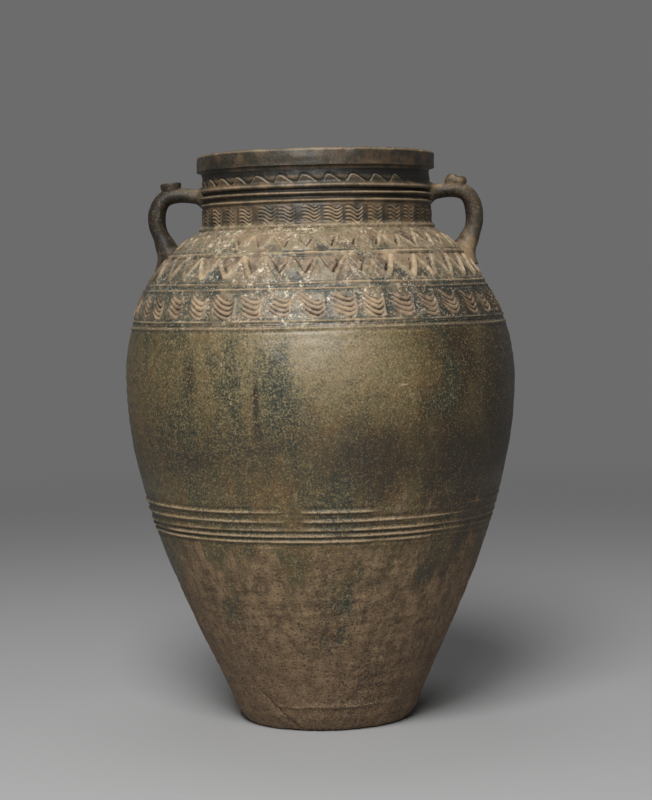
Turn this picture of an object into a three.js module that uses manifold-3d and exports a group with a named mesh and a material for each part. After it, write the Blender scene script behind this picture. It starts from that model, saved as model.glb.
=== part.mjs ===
// A tall earthenware storage jar with two loop handles, built from the pieces of clay that its potter joins:
// a base disc, four thrown wall sections, a rim, and two handles with a knob on each.
// Millimetres, +Z up, with the origin at the centre of the foot and the handles along X.
import * as THREE from "three";
import { mergeVertices } from "three/addons/utils/BufferGeometryUtils.js";
import Module from "manifold-3d";

const wasm = await Module();
wasm.setup();

// Facets
const roundSteps = 48; // steps round the jar
const wallStep = 34; // height of one step on a plain stretch of wall
const innerStep = 45; // and on the inside
const shoulderStep = 10; // on the shoulder, which bends more
const handleSides = 12;
const handleSteps = 22;
const knobSteps = 20;
const coreSteps = 2 * roundSteps; // of the solid that trims the handles, rounder than what they meet

// Heights of the thrown sections, from the foot up
const baseThickness = 20; // the floor inside the jar
const lowerWallHeight = 185;
const bellyWallHeight = 222.5;
const shoulderHeight = 96;
const neckHeight = 60;
const rimHeight = 21.5;

// The luted seams: each edge is bevelled, higher inside, and bedded in slip
const seamRise = 6;
const slipGap = 0.3;

// The body's outline
const footRadius = 85; // of the flat that the jar stands on
const footCornerRadius = 90.5; // where the foot's rounding would meet the ground
const flareRadius = 99.3; // at the top of the foot's rounding
const flareHeight = 17;
const footLean = THREE.MathUtils.degToRad(19); // of the wall above the foot, from upright
const footPull = 59;
const bellyRadius = 208.4;
const bellyRise = 158; // of the widest point above the lower wall's seam
const bellyPullDown = 140;
const bellyPullUp = 12.5;
const shoulderSlope = THREE.MathUtils.degToRad(35); // where the shoulder reaches the neck, from level
const shoulderPull = 102;
const bodyWall = 11;

// The neck and the rim
const neckTopRadius = 121;
const neckTaper = 2; // how much wider the neck is at its foot
const neckWall = 12;
const neckLedge = 5; // of the shoulder's edge beyond the neck
const neckSeat = 11; // thickness of the shoulder under the neck
const neckSeatEase = 8;
const neckBeadRise = 2.5;
const neckBeadHeight = 6;
const rimOverhang = 5.5;
const rimCove = 4; // height of the undercut below the rim's face
const rimFace = 12.5;
const rimTopEase = 4.5; // how far the rounded top edge draws in
const rimInnerEase = 3.5;

// Turned ridges: heights above the seam at the foot of each section, or below the one at its top
const thinRidge = { width: 4.5, rise: 1.6 };
const pairRidge = { width: 5, rise: 1.8 };
const neckRidge = { width: 6, rise: 2.2 };
const bellyRidgesUp = [6, 12, 18, 27, 36.5];
const bellyTopRidgeDown = 3.5;
const shoulderFootRidgeUp = 3.5;
const shoulderPairUp = [35.5, 41];
const shoulderThinRidgeDown = 24.5;
const neckRidgesDown = [16.2, 23.7, 31.5];

// Carving on the shoulder, which repeats round the jar and is worked smooth beside the handles
const carvedRepeats = 39;
const carvingStart = THREE.MathUtils.degToRad(10); // from the middle of a handle
const carvingFade = THREE.MathUtils.degToRad(6);
// Combed lines: each falls across a stroke to a trough, and climbs to the next stroke
const combPlaces = [-0.38, 0.18]; // a stroke's start and its trough, in each repeat
const combLines = 4;
const combUp = 7.5; // of the lowest trough above the shoulder's seam
const combTall = 24.5;
const combFall = 9;
const combRise = 1.2;
// Zigzag ribbons: one below the thin ridge and a slighter one above it
const zigzagPlaces = [-0.14, 0.24]; // a ribbon's lower corner and its upper corner, in each repeat
const zigzagUp = 47; // of the lower corners above the shoulder's seam
const zigzagDown = 29.5; // of the upper corners below the neck's seam
// Past a corner, inside it, across each slanting edge and out of the wall
const zigzagShape = { tip: 2, crotch: 10, bevel: 1.2, rise: 1.6 };
const slightZigzagDown = [19.5, 7]; // of the slighter one's lower and upper corners below the neck's seam
const slightZigzagShape = { tip: 1.5, crotch: 5.5, bevel: 1, rise: 1 };

// The handles: the strap's centre line in the plane of X and Z
const handleSpringDown = 22; // below the rim's seam, where the strap leaves the neck
const handleArchRise = 4; // the pull that lifts the arch above that point
const handleArchPull = 25;
const handleOut = 47.7; // from the top of the neck to the middle of the upright run
const handleSideUp = 11; // of the furthest point above the neck's seam
const handleElbowPull = 37;
const handleRootDown = 25; // of the root's middle below the neck's seam
const handleRootLean = 3; // how far the strap draws in as it comes down to the root
const handleSidePull = 14;
const handleRootPull = 11;
const handleBury = 14; // how far each end is worked into the wall before the wall trims it
// The strap's thickness and width, from the neck to the shoulder
const springThick = 19;
const springWide = 28;
const archThick = 16.5;
const archWide = 24;
const elbowThick = 17;
const runThick = 19.5;
const runWide = 23;
const ankleThick = 26;
const ankleWide = 29;
const rootThick = 30;
const rootWide = 36;
// Where along the strap each of them lies, as a share of its length
const handleSections = [
  { at: 0, thick: springThick, wide: springWide },
  { at: 0.2, thick: archThick, wide: archWide },
  { at: 0.38, thick: elbowThick, wide: runWide },
  { at: 0.55, thick: runThick, wide: runWide },
  { at: 0.71, thick: runThick, wide: runWide },
  { at: 0.84, thick: ankleThick, wide: ankleWide },
  { at: 1, thick: rootThick, wide: rootWide },
];

// The knobs pressed on the handles
const rightKnobOut = 27; // from the top of the neck to the middle of the knob
const leftKnobOut = 33.5;
const knobRadius = 11.8;
const knobRise = 6.5; // above the strap
const knobBed = 4; // how far it is pressed down round the strap
const knobEdge = 2.5;
const knobDish = 2;
const dentRadius = 5.5; // of the dent pressed across the right knob
const dentDepth = 3;

// Heights of the seams
const lowerSeam = baseThickness - seamRise;
const bellySeam = baseThickness + lowerWallHeight;
const shoulderSeam = bellySeam + bellyWallHeight;
const neckSeam = shoulderSeam + shoulderHeight;
const rimSeam = neckSeam + neckHeight;
const rimTop = rimSeam + rimHeight;
const bellyHeight = bellySeam + bellyRise;

// Radii that follow from the neck
const neckBottomRadius = neckTopRadius + neckTaper;
const shoulderTopRadius = neckBottomRadius + neckLedge;
const neckInnerRadius = neckTopRadius - neckWall;
const handleReach = neckTopRadius + handleOut;

const v2 = (r, z) => new THREE.Vector2(r, z);

// Materials
function clay(color, roughness) {
  return new THREE.MeshStandardMaterial({ color, roughness, metalness: 0 });
}
const bareClay = clay(0x6a5a46, 0.85);
const thinGlaze = clay(0x665a43, 0.6);
const oliveGlaze = clay(0x5c5539, 0.45);
const wornGlaze = clay(0x7a6c4e, 0.5);
const darkGlaze = clay(0x453b29, 0.5);
const handleGlaze = clay(0x5a4a37, 0.5);

// The outer wall as three curves of radius over height
const footCurve = new THREE.QuadraticBezierCurve(
  v2(footRadius, 0),
  v2(footCornerRadius, 0),
  v2(flareRadius, flareHeight),
);
const lowerCurve = new THREE.CubicBezierCurve(
  v2(flareRadius, flareHeight),
  v2(flareRadius + footPull * Math.sin(footLean), flareHeight + footPull * Math.cos(footLean)),
  v2(bellyRadius, bellyHeight - bellyPullDown),
  v2(bellyRadius, bellyHeight),
);
const upperCurve = new THREE.CubicBezierCurve(
  v2(bellyRadius, bellyHeight),
  v2(bellyRadius, bellyHeight + bellyPullUp),
  v2(
    shoulderTopRadius + shoulderPull * Math.cos(shoulderSlope),
    neckSeam - shoulderPull * Math.sin(shoulderSlope),
  ),
  v2(shoulderTopRadius, neckSeam),
);

// The body's outer point at a height, moved out along the wall's normal (a negative move is into the wall)
function wallPoint(height, out = 0) {
  const curve =
    height < flareHeight ? footCurve : height < bellyHeight ? lowerCurve : upperCurve;
  let low = 0;
  let high = 1;
  for (let i = 0; i < 40; i++) {
    const middle = (low + high) / 2;
    if (curve.getPoint(middle).y < height) low = middle;
    else high = middle;
  }
  const along = curve.getTangent(low);
  return curve.getPoint(low).add(v2(along.y, -along.x).multiplyScalar(out));
}

// The neck's outer point at a height, moved out by some distance
function neckPoint(height, out = 0) {
  const share = (height - neckSeam) / neckHeight;
  return v2(THREE.MathUtils.lerp(neckBottomRadius, neckTopRadius, share) + out, height);
}

// An outline up a wall, with even steps on the plain stretches and three points on each ridge
function outline(pointAt, from, to, { ridges = [], out = 0, step = wallStep } = {}) {
  const points = [pointAt(from, out)];
  let reached = from;
  const plainTo = (height) => {
    const steps = Math.max(1, Math.round((height - reached) / step));
    for (let i = 1; i <= steps; i++)
      points.push(pointAt(THREE.MathUtils.lerp(reached, height, i / steps), out));
    reached = height;
  };
  for (const { at, width, rise } of [...ridges].sort((a, b) => a.at - b.at)) {
    plainTo(at - width / 2);
    points.push(pointAt(at, out + rise));
    points.push(pointAt(at + width / 2, out));
    reached = at + width / 2;
  }
  plainTo(to);
  return points;
}

const ridgesAt = (heights, shape) => heights.map((at) => ({ at, ...shape }));
const shoulderFootRidges = ridgesAt([shoulderSeam + shoulderFootRidgeUp], pairRidge);
const shoulderPair = ridgesAt(shoulderPairUp.map((h) => shoulderSeam + h), pairRidge);
const shoulderThinRidges = ridgesAt([neckSeam - shoulderThinRidgeDown], thinRidge);
const shoulderRidges = [...shoulderFootRidges, ...shoulderPair, ...shoulderThinRidges];
const bellyRidges = [
  ...ridgesAt(bellyRidgesUp.map((h) => bellySeam + h), thinRidge),
  ...ridgesAt([shoulderSeam - bellyTopRidgeDown], pairRidge),
];
const neckRidges = ridgesAt(neckRidgesDown.map((h) => rimSeam - h), neckRidge);

// A solid turned round the jar's axis from an outline that closes on itself or starts and ends on the axis
function turned(points, steps = roundSteps) {
  return new THREE.LatheGeometry(points, steps).rotateX(Math.PI / 2);
}
const ring = (outer, inner) => turned([...outer, ...inner.reverse(), outer[0].clone()]);

// One thrown section of the body: the outer wall between two seams and the inner wall behind it
function bodySection(from, to, ridges) {
  const outer = outline(wallPoint, from + slipGap, to, { ridges });
  const innerFrom = from + seamRise + slipGap;
  const inner = outline(wallPoint, innerFrom, to + seamRise, { out: -bodyWall, step: innerStep });
  return ring(outer, inner);
}

function baseDisc() {
  const edge = [0, 0.5, 1].map((share) => wallPoint(share * lowerSeam));
  const bevelTop = wallPoint(lowerSeam + seamRise, -bodyWall);
  return turned([v2(0, 0), ...edge, v2(bevelTop.x, baseThickness), v2(0, baseThickness)]);
}

// The shoulder's outer outline without its carving, from a height at its foot to the ledge round the neck
function shoulderOutline(from, out) {
  return outline(wallPoint, from, neckSeam, { ridges: shoulderRidges, out, step: shoulderStep });
}

// How much of the carving shows at a turn round the jar: none beside a handle
function carvingShare(turn) {
  const fromHandle = Math.atan2(Math.abs(Math.sin(turn)), Math.abs(Math.cos(turn)));
  return THREE.MathUtils.smoothstep(fromHandle, carvingStart, carvingStart + carvingFade);
}

// A row of points round the jar, two in each repeat of the carving
function repeatedRow(places, pointOf) {
  const row = [];
  for (let i = 0; i < carvedRepeats; i++)
    places.forEach((place, corner) => {
      const turn = (2 * Math.PI * (i + place)) / carvedRepeats;
      const { x, y } = pointOf(corner, carvingShare(turn));
      row.push(new THREE.Vector3(x * Math.cos(turn), x * Math.sin(turn), y));
    });
  return row;
}
const plainRow = (point) => repeatedRow(zigzagPlaces, () => point);
const carvedRow = (places, heights, rise) =>
  repeatedRow(places, (corner, share) => wallPoint(heights[corner], rise * share));

function ridgeRows({ at, width, rise }) {
  return [wallPoint(at - width / 2), wallPoint(at, rise), wallPoint(at + width / 2)].map(plainRow);
}

function combRows() {
  const low = shoulderSeam + combUp;
  const rows = [];
  for (let i = 0; i <= 2 * combLines; i++) {
    const up = ((combTall - combFall) * i) / (2 * combLines);
    rows.push(carvedRow(combPlaces, [low + combFall + up, low + up], i % 2 ? combRise : 0));
  }
  return rows;
}

// A raised ribbon: its lower edge, its face and its upper edge
function zigzagRows(low, high, { tip, crotch, bevel, rise }) {
  const row = (fromLow, fromHigh, out) => carvedRow(zigzagPlaces, [low + fromLow, high + fromHigh], out);
  return [
    row(-tip, -crotch, 0),
    row(bevel - tip, bevel - crotch, rise),
    row(crotch - bevel, tip - bevel, rise),
    row(crotch, tip, 0),
  ];
}

// The shoulder: carved bands between turned ridges, and a level ledge and a bevelled seat for the neck
function shoulderWall() {
  const [slightLow, slightHigh] = slightZigzagDown.map((down) => neckSeam - down);
  const seat = [
    wallPoint(neckSeam),
    v2(neckBottomRadius + neckBeadRise, neckSeam),
    v2(neckInnerRadius, neckSeam + seamRise),
    v2(neckInnerRadius, neckSeam - neckSeat + neckSeatEase),
    v2(neckInnerRadius + neckSeatEase, neckSeam - neckSeat),
  ];
  const innerFrom = shoulderSeam + seamRise + slipGap;
  const inner = outline(wallPoint, innerFrom, neckSeam - neckSeat, { out: -bodyWall, step: innerStep });
  const rows = [
    plainRow(wallPoint(shoulderSeam + slipGap)),
    ...shoulderFootRidges.flatMap(ridgeRows),
    ...combRows(),
    ...shoulderPair.flatMap(ridgeRows),
    ...zigzagRows(shoulderSeam + zigzagUp, neckSeam - zigzagDown, zigzagShape),
    ...shoulderThinRidges.flatMap(ridgeRows),
    ...zigzagRows(slightLow, slightHigh, slightZigzagShape),
    ...[...seat, ...inner.reverse()].map(plainRow),
  ];
  return loft(rows.reverse(), true);
}

// The neck's outer outline from its foot bead to the rim's seam
function neckOutline(out = 0) {
  const foot = [
    neckPoint(neckSeam + slipGap, neckBeadRise + out),
    neckPoint(neckSeam + neckBeadHeight / 2, neckBeadRise + out),
  ];
  return [...foot, ...outline(neckPoint, neckSeam + neckBeadHeight, rimSeam, { ridges: neckRidges, out })];
}

function neckCollar() {
  const inner = [neckSeam + slipGap, rimSeam].map((z) => v2(neckInnerRadius, z + seamRise));
  return ring(neckOutline(), inner);
}

// The rim: a cove out from the neck, an upright face, a rounded top edge and an eased inner edge
function rimRing() {
  const radius = neckTopRadius + rimOverhang;
  const foot = rimSeam + slipGap;
  const faceFoot = rimSeam + rimCove;
  const faceTop = faceFoot + rimFace;
  const coveMiddle = v2(neckTopRadius + rimOverhang / 4, (foot + faceFoot) / 2);
  const edge = new THREE.EllipseCurve(
    radius - rimTopEase,
    faceTop,
    rimTopEase,
    rimTop - faceTop,
    0,
    Math.PI / 2,
  );
  const outer = [v2(neckTopRadius, foot), coveMiddle, v2(radius, faceFoot), ...edge.getPoints(3)];
  const inner = [
    v2(neckInnerRadius, foot + seamRise),
    v2(neckInnerRadius, rimTop - rimInnerEase),
    v2(neckInnerRadius + rimInnerEase, rimTop),
  ];
  return ring(outer, inner);
}

// Booleans on closed solids
function solidOf(geometry) {
  const bare = geometry.clone().deleteAttribute("normal").deleteAttribute("uv");
  const merged = mergeVertices(bare, 1e-3);
  return new wasm.Manifold(
    new wasm.Mesh({
      numProp: 3,
      vertProperties: merged.attributes.position.array,
      triVerts: new Uint32Array(merged.index.array),
    }),
  );
}
function geometryOf(solid) {
  const { vertProperties, triVerts } = solid.getMesh();
  return new THREE.BufferGeometry()
    .setAttribute("position", new THREE.BufferAttribute(vertProperties, 3))
    .setIndex(new THREE.BufferAttribute(triVerts, 1));
}
const cut = (geometry, tool) => geometryOf(solidOf(geometry).subtract(solidOf(tool)));

// A closed skin over a row of rings with equal counts of points, either capped at both ends
// or endless, with the last ring joined to the first
function loft(rings, endless = false) {
  const sides = rings[0].length;
  const last = rings.length - 1;
  const corner = (i, j) => (i % rings.length) * sides + (j % sides);
  const index = [];
  for (let i = 0; i < (endless ? rings.length : last); i++)
    for (let j = 0; j < sides; j++) {
      const [a, b] = [corner(i, j), corner(i, j + 1)];
      const [nextA, nextB] = [corner(i + 1, j), corner(i + 1, j + 1)];
      index.push(a, nextB, b, a, nextA, nextB);
    }
  for (let j = 1; j < sides - 1 && !endless; j++) {
    index.push(corner(0, 0), corner(0, j), corner(0, j + 1));
    index.push(corner(last, 0), corner(last, j + 1), corner(last, j));
  }
  return new THREE.BufferGeometry().setFromPoints(rings.flat()).setIndex(index);
}

// The strap's centre line: over the arch, down the upright run, and on into the wall at both ends
function handleLine() {
  const at = (r, z) => new THREE.Vector3(r, 0, z);
  const spring = at(neckTopRadius, rimSeam - handleSpringDown);
  const side = at(handleReach, neckSeam + handleSideUp);
  const rootHeight = neckSeam - handleRootDown;
  const root = at(wallPoint(rootHeight).x, rootHeight);
  const beforeRoot = root.clone().add(at(handleRootLean, handleRootPull));
  const line = new THREE.CurvePath();
  line.add(new THREE.LineCurve3(spring.clone().sub(at(handleBury, 0)), spring));
  line.add(
    new THREE.CubicBezierCurve3(
      spring,
      spring.clone().add(at(handleArchPull, handleArchRise)),
      side.clone().add(at(0, handleElbowPull)),
      side,
    ),
  );
  line.add(new THREE.CubicBezierCurve3(side, side.clone().sub(at(0, handleSidePull)), beforeRoot, root));
  const inward = root.clone().sub(beforeRoot).setLength(handleBury);
  line.add(new THREE.LineCurve3(root, root.clone().add(inward)));
  return line;
}

// The strap's size at a share of its length, eased between the named sections
function handleSize(share) {
  const next = handleSections.findIndex(({ at }) => at >= share && at > 0);
  const [a, b] = [handleSections[next - 1], handleSections[next]];
  const ease = THREE.MathUtils.smoothstep(share, a.at, b.at);
  return {
    thick: THREE.MathUtils.lerp(a.thick, b.thick, ease),
    wide: THREE.MathUtils.lerp(a.wide, b.wide, ease),
  };
}

const strapLine = handleLine();
const across = new THREE.Vector3(0, 1, 0);

// The strap as an oval section carried along its line, made larger all round by some distance
function strap(grow = 0) {
  const rings = [];
  for (let i = 0; i <= handleSteps; i++) {
    const share = i / handleSteps;
    const centre = strapLine.getPointAt(share);
    const outward = new THREE.Vector3().crossVectors(across, strapLine.getTangentAt(share)).negate();
    const { thick, wide } = handleSize(share);
    const oval = [];
    for (let j = 0; j < handleSides; j++) {
      const turn = (2 * Math.PI * j) / handleSides;
      oval.push(
        centre
          .clone()
          .addScaledVector(outward, Math.cos(turn) * (thick / 2 + grow))
          .addScaledVector(across, Math.sin(turn) * (wide / 2 + grow)),
      );
    }
    rings.push(oval);
  }
  return loft(rings);
}

// The shoulder and neck as one filled solid, grown by the slip, that trims a handle's ends to the wall
function jarCore() {
  const wall = [...shoulderOutline(shoulderSeam, slipGap), ...neckOutline(slipGap)];
  return turned([v2(0, shoulderSeam), ...wall, v2(0, rimSeam)], coreSteps);
}

// The knob: a button with a rounded edge and a dished top, standing square on the strap some way out from
// the neck and bedded on it, and dented across by a fingertip or left whole
function knob(out, dented) {
  let low = 0.1;
  let high = 0.5;
  for (let i = 0; i < 40; i++) {
    const middle = (low + high) / 2;
    if (strapLine.getPointAt(middle).x < neckTopRadius + out) low = middle;
    else high = middle;
  }
  const seat = strapLine.getPointAt(low);
  const along = strapLine.getTangentAt(low);
  const strapTop = handleSize(low).thick / 2;
  const top = strapTop + knobRise;
  const foot = strapTop - knobBed;
  const round = v2(knobRadius - knobEdge, top - knobEdge);
  const edge = new THREE.EllipseCurve(round.x, round.y, knobEdge, knobEdge, 0, Math.PI / 2);
  const profile = [v2(0, foot), v2(knobRadius, foot), ...edge.getPoints(3), v2(0, top - knobDish)];
  const tilt = Math.atan2(-along.z, along.x);
  const button = turned(profile, knobSteps);
  const fingertip = new THREE.CylinderGeometry(dentRadius, dentRadius, 3 * knobRadius, knobSteps);
  fingertip.translate(0, 0, top - dentDepth + dentRadius);
  const pressed = dented ? cut(button, fingertip) : button;
  return cut(pressed.rotateY(tilt).translate(seat.x, seat.y, seat.z), strap(slipGap));
}

// Assembly: the left handle and knob are made as the right ones are, and turned half round the jar's axis
const jar = new THREE.Group();
function place(name, geometry, material, turn = 0) {
  const mesh = new THREE.Mesh(geometry, material);
  mesh.name = name;
  mesh.rotation.z = turn;
  jar.add(mesh);
}
place("base_disc", baseDisc(), bareClay);
place("lower_wall", bodySection(lowerSeam, bellySeam, []), thinGlaze);
place("belly_wall", bodySection(bellySeam, shoulderSeam, bellyRidges), oliveGlaze);
place("shoulder_wall", shoulderWall(), wornGlaze);
place("neck_collar", neckCollar(), darkGlaze);
place("rim_ring", rimRing(), darkGlaze);
const handle = cut(strap(), jarCore());
for (const { side, turn, knobOut, dented } of [
  { side: "right", turn: 0, knobOut: rightKnobOut, dented: true },
  { side: "left", turn: Math.PI, knobOut: leftKnobOut, dented: false },
]) {
  place(`${side}_handle`, handle, handleGlaze, turn);
  place(`${side}_handle_knob`, knob(knobOut, dented), handleGlaze, turn);
}

export default jar;
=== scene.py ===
import math
from types import SimpleNamespace

import bmesh
import bpy
import numpy as np
from mathutils import Matrix, Vector


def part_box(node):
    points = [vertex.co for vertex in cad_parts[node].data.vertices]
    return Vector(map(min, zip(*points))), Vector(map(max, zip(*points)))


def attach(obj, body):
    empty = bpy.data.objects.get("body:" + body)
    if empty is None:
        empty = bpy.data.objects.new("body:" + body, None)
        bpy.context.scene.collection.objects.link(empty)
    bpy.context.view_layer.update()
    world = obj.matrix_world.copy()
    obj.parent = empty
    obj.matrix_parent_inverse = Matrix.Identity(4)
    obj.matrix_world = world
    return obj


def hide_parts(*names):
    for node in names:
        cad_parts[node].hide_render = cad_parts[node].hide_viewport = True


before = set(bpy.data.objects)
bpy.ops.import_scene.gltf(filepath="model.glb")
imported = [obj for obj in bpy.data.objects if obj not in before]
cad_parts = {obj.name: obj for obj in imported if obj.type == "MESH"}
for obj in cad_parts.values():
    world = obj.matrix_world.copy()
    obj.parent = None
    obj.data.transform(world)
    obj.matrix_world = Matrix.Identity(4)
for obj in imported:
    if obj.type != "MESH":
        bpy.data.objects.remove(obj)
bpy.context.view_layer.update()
scene = bpy.context.scene
scene.view_settings.view_transform = "Standard"
mm = 0.001  # the jar is sized in millimetres; meshes, camera and lamps are in metres
fullTurn = 2 * math.pi

# Where the thrown sections start, in millimetres
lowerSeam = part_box("lower_wall")[0].z / mm
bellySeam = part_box("belly_wall")[0].z / mm
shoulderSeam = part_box("shoulder_wall")[0].z / mm
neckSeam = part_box("neck_collar")[0].z / mm
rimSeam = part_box("rim_ring")[0].z / mm
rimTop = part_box("rim_ring")[1].z / mm
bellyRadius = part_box("belly_wall")[1].x / mm
print("frame loaded, seams at", lowerSeam, bellySeam, shoulderSeam, neckSeam, rimSeam, rimTop)


def addObject(name, data):
    made = bpy.data.objects.new(name, data)
    scene.collection.objects.link(made)
    return made


def toMesh(bm, name):
    mesh = bpy.data.meshes.new(name)
    bm.to_mesh(mesh)
    bm.free()
    return mesh


# Camera, light and floor

shot = {
    "distance": 2.2,
    "eyeHeight": 0.471,
    "aside": 0.0055,
    "tiltDown": 0.0587,
    "roll": -0.0219,
    "lens": 92,  # millimetres, as is the sensor
    "sensor": 36,
}


def placeCamera():
    data = bpy.data.cameras.new("shot")
    data.lens = shot["lens"]
    data.sensor_width = shot["sensor"]
    camera = addObject("shot", data)
    place = Matrix.Translation((shot["aside"], -shot["distance"], shot["eyeHeight"]))
    tilt = Matrix.Rotation(math.pi / 2 - shot["tiltDown"], 4, "X")
    camera.matrix_world = place @ tilt @ Matrix.Rotation(shot["roll"], 4, "Z")
    scene.camera = camera


studio = {
    "key": {"place": (-0.4, -2, 2.6), "size": 1.3, "watts": 84},
    "front": {"place": (-0.25, -2.6, 1.75), "size": 1, "watts": 35},
    "top": {"place": (-0.2, 0.7, 2.6), "size": 1.4, "watts": 10},
    "aim": (0, 0, 0.36),
    "floorColour": (0.36, 0.36, 0.36, 1),
    "floorHalf": 14,
    "skyColour": (0.6, 0.6, 0.6, 1),
    "skyStrength": 0.1,
    "backdropStrength": 0.25,
    "fadeFrom": 0.7,
    "fadeTo": 3.2,
}


def placeLights():
    for name in ("key", "front", "top"):
        lamp = studio[name]
        data = bpy.data.lights.new(name, "AREA")
        data.shape = "DISK"
        data.size = lamp["size"]
        data.energy = lamp["watts"]
        light = addObject(name, data)
        light.location = lamp["place"]
        look = Vector(studio["aim"]) - Vector(lamp["place"])
        light.rotation_euler = look.to_track_quat("-Z", "Y").to_euler()


def placeFloor():
    bm = bmesh.new()
    bmesh.ops.create_grid(bm, x_segments=2, y_segments=2, size=studio["floorHalf"])
    floor = addObject("floor", toMesh(bm, "floor"))
    return floor


# Shader maths on sockets

class Field:
    def __init__(self, tree, socket):
        self.tree = tree
        self.socket = socket

    def node(self, kind, settings, inputs, output=0):
        made = self.tree.nodes.new("ShaderNode" + kind)
        for key, value in settings.items():
            setattr(made, key, value)
        for key, value in inputs.items():
            if isinstance(value, Field):
                self.tree.links.new(value.socket, made.inputs[key])
            else:
                made.inputs[key].default_value = value
        return Field(self.tree, made.outputs[output])

    def math(self, operation, a, b):
        return self.node("Math", {"operation": operation}, {0: a, 1: b})

    def __add__(self, other):
        return self.math("ADD", self, other)

    def __sub__(self, other):
        return self.math("SUBTRACT", self, other)

    def __rsub__(self, other):
        return self.math("SUBTRACT", other, self)

    def __mul__(self, other):
        return self.math("MULTIPLY", self, other)

    __radd__ = __add__
    __rmul__ = __mul__

    def stretch(self, scale):
        return self.node("VectorMath", {"operation": "MULTIPLY"}, {0: self, 1: scale})

    def noise(self, scale, detail=2, rough=0.5):
        return self.node("TexNoise", {}, {
            "Vector": self, "Scale": scale, "Detail": detail, "Roughness": rough})

    def cells(self, scale):
        return self.node("TexVoronoi", {}, {"Vector": self, "Scale": scale})

    def layer(self, key):  # a value that the mesh holds at its points
        return self.node("Attribute", {"attribute_name": key}, {}, 2)

    def bump(self, distance):  # normals for this height
        return self.node("Bump", {}, {"Strength": 0.6, "Distance": distance, "Height": self})

    def rise(self, low, high):  # 0 below low, 1 above high; falls where low is the larger
        ends = {"From Min": low, "From Max": high}
        return self.node("MapRange", {"interpolation_type": "SMOOTHSTEP"}, {"Value": self, **ends})

    def blend(self, a, b):  # colour a where this is 0, b where it is 1
        return self.node("Mix", {"data_type": "RGBA"}, {0: self, 6: a, 7: b}, 2)


def tints(look):  # from colours as they look on screen, 0 to 255
    def linear(c):
        return c / 12.92 if c <= 0.04045 else ((c + 0.055) / 1.055) ** 2.4

    colours = {name: [linear(c / 255) for c in colour] + [1] for name, colour in look.items()}
    return SimpleNamespace(**colours)


def newMaterial(name):
    material = bpy.data.materials.new(name)
    material.use_nodes = True
    tree = material.node_tree
    tree.nodes.clear()
    out = tree.nodes.new("ShaderNodeOutputMaterial")
    shader = tree.nodes.new("ShaderNodeBsdfPrincipled")
    tree.links.new(shader.outputs[0], out.inputs[0])
    place = tree.nodes.new("ShaderNodeTexCoord")
    return material, shader, Field(tree, place.outputs["Object"])


def wire(shader, **fields):
    for key, field in fields.items():
        field.tree.links.new(field.socket, shader.inputs[key.replace("_", " ")])


tones = ("wearAndHighlight", "pool", "brown")  # carved into the meshes: rubbed clay with painted highlights, deep glaze with painted shade and shadow, and browned cuts

jarLook = {
    "olive": (86, 75, 46),
    "khaki": (140, 126, 95),
    "brown": (98, 76, 44),
    "umber": (42, 33, 21),
    "green": (66, 69, 52),
    "darkFleck": (33, 40, 35),
    "goldFleck": (152, 133, 98),
    "clay": (145, 119, 88),
    "clayBrown": (86, 68, 48),
    "clayRed": (112, 86, 65),
    "clayPit": (56, 45, 35),
    "tan": (131, 117, 91),
    "rust": (126, 103, 79),
    "tealFleck": (60, 72, 66),
    "glint": (222, 211, 184),
    "neckBrown": (50, 44, 35),
    "neckRust": (92, 73, 52),
    "pool": (42, 46, 39),
    "poolBrown": (44, 33, 24),
    "buff": (173, 150, 119),
    "cutBrown": (133, 109, 86),
    "soot": (22, 19, 15),
}

jarLevels = {  # the heights between which one look gives way to the next
    "low": (bellySeam + 8, bellySeam - 45),
    "reddened": (bellySeam * 0.8, bellySeam * 0.2),
    "ringed": (bellySeam + 55, bellySeam + 40),
    "lowShadeFoot": (bellySeam + 45, bellySeam + 80),
    "lowShadeTop": (bellySeam + 150, bellySeam + 95),
    "crown": (bellySeam + 105, bellySeam + 185),
    "shoulder": (shoulderSeam - 9, shoulderSeam + 3),
    "sideShade": (shoulderSeam + 44, shoulderSeam + 32),
    "banded": (neckSeam - 24, neckSeam - 30),
    "neck": (neckSeam, neckSeam + 9),
    "rim": (rimSeam + 1, rimSeam + 4),
}


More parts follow.
